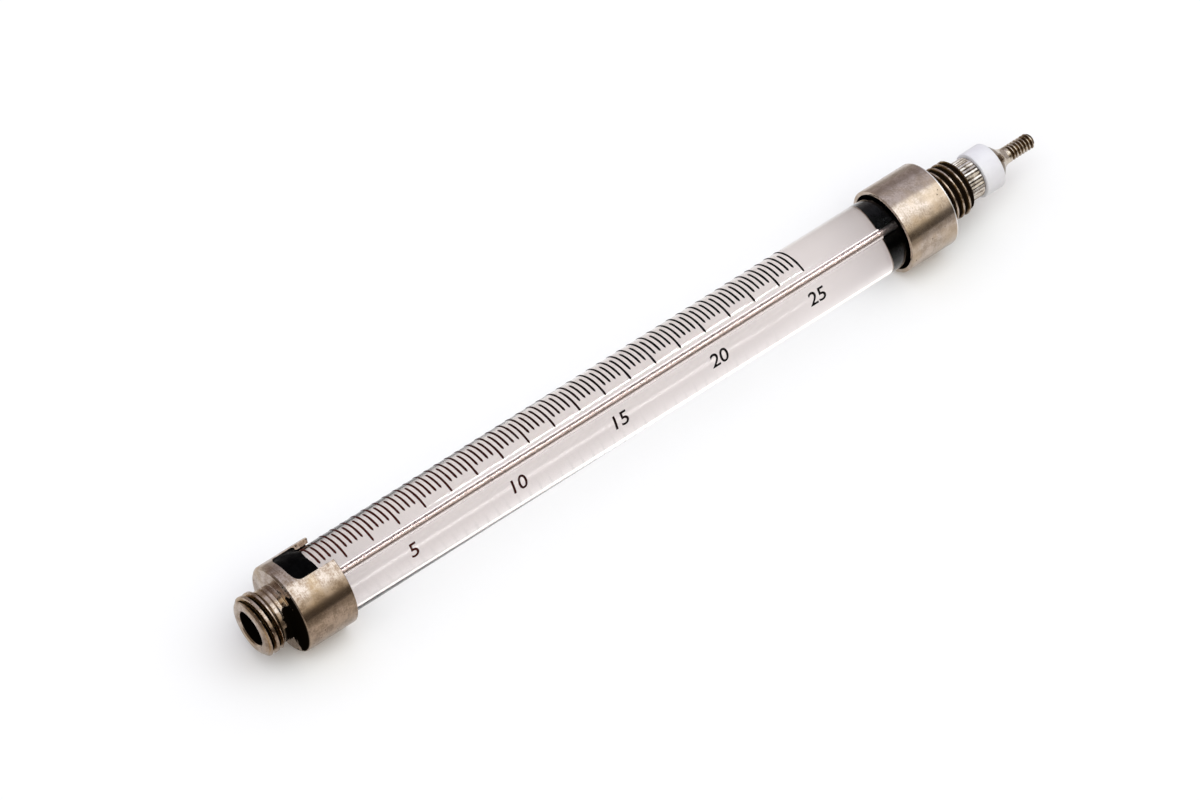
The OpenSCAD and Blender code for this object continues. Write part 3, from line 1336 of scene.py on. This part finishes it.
@dataclass
class RearEnd:
    """The rear collar with its thread, and the adhesive inside it. Sizes are in millimetres.

    Attributes:
        length: The length of the wide part, up to its rear face.
        thread_gap: The distance from that face to the thread.
        outer: The radius of the wide part.
        cup: The radius of the cup for the glass.
        thread_r: The radius of the thread's crests.
        relief_r: The radius of the groove in front of the thread.
        ramp: The length of the cone from that groove up to the thread.
        chamfer: The chamfer at the thread's end.
        guide_r: The radius of the hole for the wire.
        pitch: The pitch of the thread.
        crest_x: A station of one of its crests.
        glass_r: The radius of the glass.
    """

    length: float = 6.0
    thread_gap: float = 0.4
    outer: float = 4.65
    cup: float = 4.23
    thread_r: float = 3.0
    relief_r: float = 2.5
    ramp: float = 0.25
    chamfer: float = 0.3
    guide_r: float = 0.65
    pitch: float = 0.8
    crest_x: float = 85.315
    glass_r: float = 3.95

    def __post_init__(self) -> None:
        """Takes the stations from the frame and sets the finishes of the rear end."""
        self.rim, self.end = reach("rear_collar")
        _, self.glass_end = reach("glass_barrel")
        self.face = self.rim + self.length
        self.thread_start = self.face + self.thread_gap
        self.plate = TurnedMetal(
            "rear_nickel_plate", (0.6, 0.505, 0.43), (0.4, 0.32, 0.25), crest=3.03, root=2.78,
            # The rear face's edge gets a painted highlight.
            stain_and_shade=(0.15, 0.085, 0.03), edge_highlights=(self.face - 0.03,),
        ).build()
        self.black = Paste(
            "collar_adhesive", (0.0, 0.0, 0.0), (0.001, 0.001, 0.001), 2.0, 0.3, 0.55, 0.02, gloss=0.0,
        ).build()

    def collar(self) -> bpy.types.Object:
        """Turns the collar with its cup and its thread.

        Returns:
            The collar.
        """
        thread = Thread(
            self.face + 0.1, self.end + 0.2, self.thread_r, self.pitch, depth=0.45, crest_x=self.crest_x,
        )
        section = [
            Corner(self.rim, self.cup, 0.05),
            Corner(self.rim, self.outer, 0.1),
            Corner(self.face, self.outer, 0.1),
            Corner(self.face, self.relief_r),
            Corner(self.thread_start - self.ramp, self.relief_r),
            Corner(self.thread_start, self.thread_r, 0.04),
            Corner(self.end - self.chamfer, self.thread_r, 0.04),
            Corner(self.end, self.thread_r - self.chamfer, 0.05),
            Corner(self.end, self.guide_r, 0.05),
            Corner(self.glass_end, self.guide_r),
            Corner(self.glass_end, self.cup),
        ]
        bm = turned(section, 256, threads=[thread])
        return finished("rear_collar_turned", bm, Body.BARREL, self.plate, "rear_collar", 32)

    def adhesive(self) -> bpy.types.Object:
        """Turns the adhesive between the glass and the cup, with its hollow face.

        Returns:
            The adhesive.
        """
        inner, outer = self.glass_r - GLUE_BITE, self.cup - GLUE_GAP
        section = [
            Corner(self.rim - 0.16, inner),
            Corner(self.rim - 0.02, (self.glass_r + self.cup) / 2, 0.05),
            Corner(self.rim + 0.12, outer),
            Corner(self.glass_end - 0.2, outer),
            Corner(self.glass_end - 0.2, inner),
        ]
        bm = turned(section, 192)
        front = [v for v in bm.verts if v.co.x < (self.rim + 0.5) * MM]
        for vert in front:
            if vert.co.yz.length > (self.glass_r + 0.03) * MM:
                vert.co.x += wander(0.08, *(vert.co * (1.4 / MM))) * MM
        return finished("rear_adhesive_ring", bm, Body.BARREL, self.black, "rear_adhesive")

    def build(self) -> None:
        """Builds every piece of the rear end."""
        self.collar()
        self.adhesive()


# --- The plunger ------------------------------------------------------------------------


@dataclass
class Plunger:
    """The wire, the knurled ring, the white bushing and the threaded stud. Sizes are in millimetres.

    Attributes:
        wire_r: The radius of the wire.
        ring_r: The radius of the knurled ring.
        knurl_depth: The depth of the knurl's grooves.
        knurl_edge: How far the knurl's edges are rounded.
        teeth: The number of its teeth.
        tooth_shift: How far each of a tooth's four corners moves, in quarters of a tooth.
        tooth_tilt: How far one side of a tooth's crest may stand above the other.
        tooth_wear: How much lower than the ring's radius the crests are.
        shank_r: The radius of the stud's shank, inside the ring and the bushing.
        bushing_r: The radius of the bushing.
        bushing_hole: The radius of its hole.
        play: The gap on each side of it.
        flange_r: The radius of the flange.
        flange_rim: The thickness of its rim.
        cone_slope: The slope of the cone behind it, in degrees.
        fillet: The radius of the fillet between the cone and the neck.
        neck_length: The length of the plain neck.
        stud_r: The radius of the threaded stud.
        chamfer: The chamfer at its end.
        pitch: The pitch of its thread.
        crest_x: A station of a crest of its thread.
    """

    wire_r: float = 0.3448
    ring_r: float = 2.25
    knurl_depth: float = 0.16
    knurl_edge: float = 0.012
    teeth: int = 36
    tooth_shift: tuple[float, float, float, float] = (-0.45, 0.45, 0.3, -0.3)
    tooth_tilt: float = 0.06
    tooth_wear: float = 0.035
    shank_r: float = 1.2
    bushing_r: float = 2.5
    bushing_hole: float = 1.24
    play: float = 0.03
    flange_r: float = 2.3
    flange_rim: float = 0.05
    cone_slope: float = 45.0
    fillet: float = 1.6
    neck_length: float = 0.25
    stud_r: float = 0.875
    chamfer: float = 0.3
    pitch: float = 0.408
    crest_x: float = 94.208

    def __post_init__(self) -> None:
        """Takes the stations from the frame and sets the finishes of the plunger."""
        self.wire_start, self.wire_end = reach("plunger_wire")
        self.ring_start, self.ring_end = reach("knurled_ring")
        self.flange = reach("ptfe_bushing")[1] + self.play
        self.tip = reach("plunger_stud")[1]
        self.steel = TurnedMetal(
            "drawn_steel", (0.5, 0.46, 0.45), (0.47, 0.43, 0.42), (0.47, 0.43, 0.41),
            smooth=0.25, rough=0.28, metal=0.9, pit_size=0.001, relief=0.0001,
        ).build()
        self.knurl = TurnedMetal(
            "knurled_steel", (0.78, 0.73, 0.68), (0.46, 0.42, 0.38), (0.6, 0.53, 0.45),
            stain_and_shade=(0.3, 0.25, 0.2), grime_and_shade=(0.03, 0.022, 0.016), crest=2.2, root=2.05, rough=0.26,
        ).build()
        self.stud_metal = TurnedMetal(
            "stud_steel", (0.74, 0.67, 0.58), (0.5, 0.42, 0.34), (0.62, 0.5, 0.34),
            stain_and_shade=(0.14, 0.085, 0.035), grime_and_shade=(0.02, 0.01, 0.005), crest=0.88, root=0.6,
            # Past the brim the flare is darkened as painted shade.
            smooth=0.1, rough=0.22, brim=1.75,
        ).build()
        self.ptfe = Paste(
            "bushing_ptfe", (0.85, 0.83, 0.85), (0.81, 0.79, 0.815), 0.8, 0.4, 0.5, 0.004,
            subsurface=0.6, depth=1.0,
        ).build()

    def wire(self) -> bpy.types.Object:
        """Turns the wire that runs in the bore.

        Returns:
            The wire.
        """
        section = [
            Corner(self.wire_start, 0),
            Corner(self.wire_start, self.wire_r, 0.06),
            Corner(self.wire_end, self.wire_r),
            Corner(self.wire_end, 0),
        ]
        bm = turned(section, 48, closed=False)
        return finished("plunger_rod", bm, Body.PLUNGER, self.steel, "plunger_wire")

    def ring(self) -> bpy.types.Object:
        """Makes the ring with its straight knurl.

        Returns:
            The ring.
        """
        bm = bmesh.new()
        count = self.teeth * 4
        root = self.ring_r - self.knurl_depth
        stations = [
            (self.ring_start, root), (self.ring_start + self.knurl_depth, self.ring_r),
            (self.ring_end - self.knurl_depth, self.ring_r), (self.ring_end, root),
        ]
        loops = []
        for x, limit in stations:
            verts = bmesh.ops.create_circle(bm, segments=count, radius=1, cap_ends=False)["verts"]
            for number, vert in enumerate(verts):
                tilt = wander(self.tooth_tilt, number // 4 * 5.3, 3.1, 0.0)
                crest = self.ring_r - self.tooth_wear + (tilt if number % 4 else -tilt)
                radius = crest if number % 4 < 2 else root
                angle = FULL_TURN * (number + self.tooth_shift[number % 4]) / count
                vert.co = around(x, min(radius, limit), angle)
            loops.append(list({e for v in verts for e in v.link_edges}))
        for x in (self.ring_end, self.ring_start):
            verts = bmesh.ops.create_circle(bm, segments=count, radius=1, cap_ends=False)["verts"]
            for number, vert in enumerate(verts):
                vert.co = around(x, self.shank_r + 0.002, FULL_TURN * number / count)
            loops.append(list({e for v in verts for e in v.link_edges}))
        for below, above in zip(loops, loops[1:] + loops[:1]):
            bmesh.ops.bridge_loops(bm, edges=below + above)
        bmesh.ops.recalc_face_normals(bm, faces=bm.faces)
        piece = finished("ring_knurled", bm, Body.PLUNGER, self.knurl, "knurled_ring", 20)
        edge = piece.modifiers.new("soft edges", "BEVEL")
        edge.width = self.knurl_edge * MM
        edge.segments = 2
        edge.limit_method = "ANGLE"
        edge.angle_limit = math.radians(20)
        edge.harden_normals = True
        return piece

    def bushing(self) -> bpy.types.Object:
        """Turns the white bushing.

        Returns:
            The bushing.
        """
        front, back = self.ring_end + self.play, self.flange - self.play
        section = [
            Corner(front, self.bushing_hole, 0.05),
            Corner(front, self.bushing_r, 0.07),
            Corner(back, self.bushing_r, 0.1),
            Corner(back, self.bushing_hole, 0.05),
        ]
        bm = turned(section, 160)
        return finished("bushing_white", bm, Body.BUSHING, self.ptfe, "ptfe_bushing")

    def stud(self) -> bpy.types.Object:
        """Turns the shank, the flange with its cone, and the threaded stud.

        Returns:
            The stud.
        """
        slope = math.radians(self.cone_slope)
        rise = self.fillet * (1 - math.cos(slope))
        cone_start = self.flange + self.flange_rim
        cone_end = cone_start + (self.flange_r - self.stud_r - rise) / math.tan(slope)
        neck = cone_end + self.fillet * math.sin(slope)
        thread = Thread(
            neck + self.neck_length - 0.1, self.tip + 0.2, self.stud_r, self.pitch, depth=0.2,
            crest_x=self.crest_x, fade_in=0.12,
        )
        flare = [
            Corner(neck - self.fillet * math.sin(angle), self.stud_r + self.fillet * (1 - math.cos(angle)))
            for angle in (slope * (1 - step / 8) for step in range(9))
        ]
        section = [
            Corner(self.ring_start, 0),
            Corner(self.ring_start, self.shank_r - 0.01, 0.1),
            Corner(self.flange, self.shank_r - 0.01),
            Corner(self.flange, self.flange_r, 0.02),
            Corner(cone_start, self.flange_r, 0.02),
            *flare,
            Corner(self.tip - self.chamfer, self.stud_r, 0.03),
            Corner(self.tip, self.stud_r - self.chamfer, 0.06),
            Corner(self.tip, 0),
        ]
        bm = turned(section, 128, closed=False, threads=[thread], row=0.018)
        return finished("stud_threaded", bm, Body.PLUNGER, self.stud_metal, "plunger_stud", 32)

    def build(self) -> None:
        """Builds every piece of the plunger."""
        self.wire()
        self.ring()
        self.bushing()
        self.stud()


# --- The studio -------------------------------------------------------------------------


@dataclass
class Studio:
    """A pale floor, a softly lit tent over it, one narrow lamp and the camera.

    Attributes:
        floor_z: The height of the floor, in millimetres.
        tent_radius: The radius of the tent's half round, in metres.
        tent_half: Half the tent's length, in metres.
        brightness: The radiance that a ramp colour of 1 stands for.
        sheet: The light of the tent's sheet, by its angle in degrees from straight above towards -Y.
        ends: The light of the cloths that close the tent, in front of the nose and behind the stud.
        low_back: The light of the sheet's lowest part at the back, as seen through the glass.
        low_share: The shares of the sheet's height between which that light ends.
        floor_lit: The colour of the floor that lights the object.
        floor_mirrored: The colour of the floor that the metal mirrors.
        floor_dim: The same farther to the side, darkened as a painted shade.
        dim_floor: The distances in millimetres between which it gets so dim.
        floor_seen: The colour of the floor itself, also through the glass.
        far_floor: The distances in millimetres between which the floor seen through the glass gets lighter.
        far_glow: The radiance that it gains there.
        room: The strength of the light outside the tent.
        lamp_size: The length and width of the narrow lamp, in metres.
        lamp_power: Its power in watts.
        lamp_place: Its place in metres.
        lamp_turn: Its turn in degrees about X, Y and Z.
        lens: The camera's focal length in millimetres, for a sensor 36 mm wide.
        camera_place: The camera's place in metres.
        camera_aim: The direction that it looks in.
    """

    floor_z: float = -4.65
    tent_radius: float = 2.8
    tent_half: float = 3.0
    brightness: float = 2.0
    sheet: tuple[tuple[float, tuple[float, float, float]], ...] = (
        (-90, (0.24, 0.22, 0.23)),
        (-66, (0.17, 0.155, 0.165)),
        (-42, (0.38, 0.38, 0.43)),
        (-10, (0.38, 0.38, 0.42)),
        (-4, (0.86, 0.9, 0.94)),
        (30, (0.9, 0.94, 0.98)),
        (44, (0.54, 0.52, 0.47)),
        (59, (0.46, 0.43, 0.37)),
        (71, (0.07, 0.06, 0.05)),
        (90, (0.04, 0.035, 0.03)),
    )
    ends: tuple[tuple[float, float, float], ...] = ((0.1, 0.085, 0.075), (0.25, 0.24, 0.25))
    low_back: tuple[float, float, float] = (1.0, 0.985, 0.97)
    low_share: tuple[float, float] = (0.08, 0.18)
    floor_lit: tuple[float, float, float] = (0.8, 0.79, 0.775)
    floor_mirrored: tuple[float, float, float] = (0.87, 0.85, 0.83)
    floor_dim: tuple[float, float, float] = (0.42, 0.39, 0.36)
    dim_floor: tuple[float, float] = (14.0, 38.0)
    floor_seen: tuple[float, float, float] = (1.0, 0.985, 0.965)
    far_floor: tuple[float, float] = (300.0, 2000.0)
    far_glow: float = 0.6
    room: float = 0.9
    lamp_size: tuple[float, float] = (0.27, 0.04)
    lamp_power: float = 16.0
    lamp_place: tuple[float, float, float] = (0.3, -0.046, 0.597)
    lamp_turn: tuple[float, float, float] = (5.5, 0.0, 15.4)
    lens: float = 148.62
    camera_place: tuple[float, float, float] = (-0.143975, -0.2326, 0.3811)
    camera_aim: tuple[float, float, float] = (0.38393, 0.48245, -0.7873)

    def stage(self, name: str, bm: bmesh.types.BMesh, s: Shader) -> bpy.types.Object:
        """Adds a piece of the studio.

        Args:
            name: Its name.
            bm: Its shape, which is used up.
            s: The shader that holds its material.

        Returns:
            The piece.
        """
        mesh = meshed(name, bm)
        mesh.materials.append(s.owner)
        piece = shown(name, mesh)
        return piece

    def floor(self) -> None:
        """Lays the pale floor."""
        bm = bmesh.new()
        bmesh.ops.create_grid(bm, x_segments=8, y_segments=8, size=4)
        bmesh.ops.translate(bm, verts=bm.verts, vec=(0, 0, self.floor_z * MM))
        s = Shader(bpy.data.materials.new("pale_floor"))
        path = s.node("ShaderNodeLightPath")
        through, mirrored, camera = (
            Number(s, path.outputs[f"Is {kind} Ray"]) for kind in ("Transmission", "Glossy", "Camera")
        )
        colour = s.mix(mirrored, self.floor_lit, self.floor_mirrored)
        # Painted shade: the floor that the metal mirrors gets darker farther to the side.
        colour = s.mix(s.distance(0, 1, 0).rises(*self.dim_floor) * mirrored, colour, self.floor_dim)
        colour = s.mix(camera.atleast(through), colour, self.floor_seen)
        diffuse = s.node("ShaderNodeBsdfDiffuse", {}, {"Color": colour})
        far = s.distance(1, 1, 0).rises(*self.far_floor) * through * self.far_glow
        glow = s.node("ShaderNodeEmission", {}, {"Color": self.floor_seen, "Strength": far})
        both = s.node("ShaderNodeAddShader", {}, {0: diffuse.outputs[0], 1: glow.outputs[0]})
        s.node("ShaderNodeOutputMaterial", {}, {"Surface": both.outputs[0]})
        self.stage("floor", bm, s)

    def tent(self) -> None:
        """Bends the lit sheet over the floor and closes both its ends."""
        bm = bmesh.new()
        verts = bmesh.ops.create_grid(bm, x_segments=4, y_segments=60, size=1)["verts"]
        for vert in verts:
            angle = vert.co.y * math.pi / 2
            across = Vector((0, -math.sin(angle), math.cos(angle))) * self.tent_radius
            vert.co = Vector((vert.co.x * self.tent_half, 0, self.floor_z * MM)) + across
        s = Shader(bpy.data.materials.new("lit_sheet"))
        _, across, up = s.axes()
        turn = s.node("ShaderNodeMath", {"operation": "ARCTAN2"}, {0: across, 1: up})
        share = 0.5 - Number(s, turn.outputs[0]) / math.pi
        stops = [(0.5 + angle / 180, colour) for angle, colour in self.sheet]
        ramp = s.node("ShaderNodeValToRGB", {"stops": stops}, {0: share})
        through = Number(s, s.node("ShaderNodeLightPath").outputs["Is Transmission Ray"])
        low = through * (1 - share.rises(*self.low_share))
        s.glow(s.mix(low, ramp.outputs[0], self.low_back), self.brightness)
        sheet = self.stage("tent_sheet", bm, s)
        pieces = [sheet]
        for name, sign, colour in (("tent_front", -1, self.ends[0]), ("tent_back", 1, self.ends[1])):
            bm = bmesh.new()
            bmesh.ops.create_circle(bm, cap_ends=True, segments=64, radius=self.tent_radius)
            bmesh.ops.rotate(bm, verts=bm.verts, matrix=Matrix.Rotation(math.radians(90), 3, "Y"))
            place = (sign * self.tent_half * 0.9, 0, self.floor_z * MM)
            bmesh.ops.translate(bm, verts=bm.verts, vec=place)
            s = Shader(bpy.data.materials.new(name))
            s.glow(colour, self.brightness)
            pieces.append(self.stage(name, bm, s))
        for piece in pieces:
            piece.visible_camera = False
            piece.visible_transmission = piece.visible_diffuse = piece is sheet

    def world(self) -> None:
        """Sets the light of the room outside the tent."""
        world = bpy.data.worlds.new("room")
        bpy.context.scene.world = world
        s = Shader(world)
        light = s.node("ShaderNodeBackground", {}, {"Color": (1.0, 1.0, 1.0), "Strength": self.room})
        s.node("ShaderNodeOutputWorld", {}, {"Surface": light.outputs[0]})

    def lamp(self) -> None:
        """Hangs a narrow lamp over the syringe, askew to its axis, that lights the glass alone."""
        data = bpy.data.lights.new("narrow_lamp", "AREA")
        data.shape = "RECTANGLE"
        data.size, data.size_y = self.lamp_size
        data.energy = self.lamp_power
        lamp = shown("narrow_lamp", data)
        lamp.location = self.lamp_place
        lamp.rotation_euler = [math.radians(angle) for angle in self.lamp_turn]
        lamp.visible_camera = False
        glass = bpy.data.collections.new("lit_by_narrow_lamp")
        glass.objects.link(bpy.data.objects["barrel_tube"])
        lamp.light_linking.receiver_collection = glass

    def camera(self) -> None:
        """Stands the camera at its place."""
        data = bpy.data.cameras.new("camera")
        data.lens, data.sensor_width = self.lens, 36
        data.clip_start, data.clip_end = 0.01, 20
        camera = shown("camera", data)
        camera.location = self.camera_place
        camera.rotation_mode = "QUATERNION"
        camera.rotation_quaternion = Vector(self.camera_aim).to_track_quat("-Z", "Y")
        bpy.context.scene.camera = camera

    def build(self) -> None:
        """Sets the whole studio."""
        bpy.context.scene.view_settings.view_transform = "Standard"
        self.floor()
        self.tent()
        self.world()
        self.lamp()
        self.camera()


def main() -> None:
    """Builds the syringe and the studio."""
    logging.basicConfig(level=logging.INFO, format="%(name)s: %(message)s")
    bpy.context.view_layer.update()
    for part in (FrontEnd(), Barrel(), RearEnd(), Plunger(), Studio()):
        log.info("building %s", type(part).__name__)
        part.build()


if __name__ == "__main__":
    main()
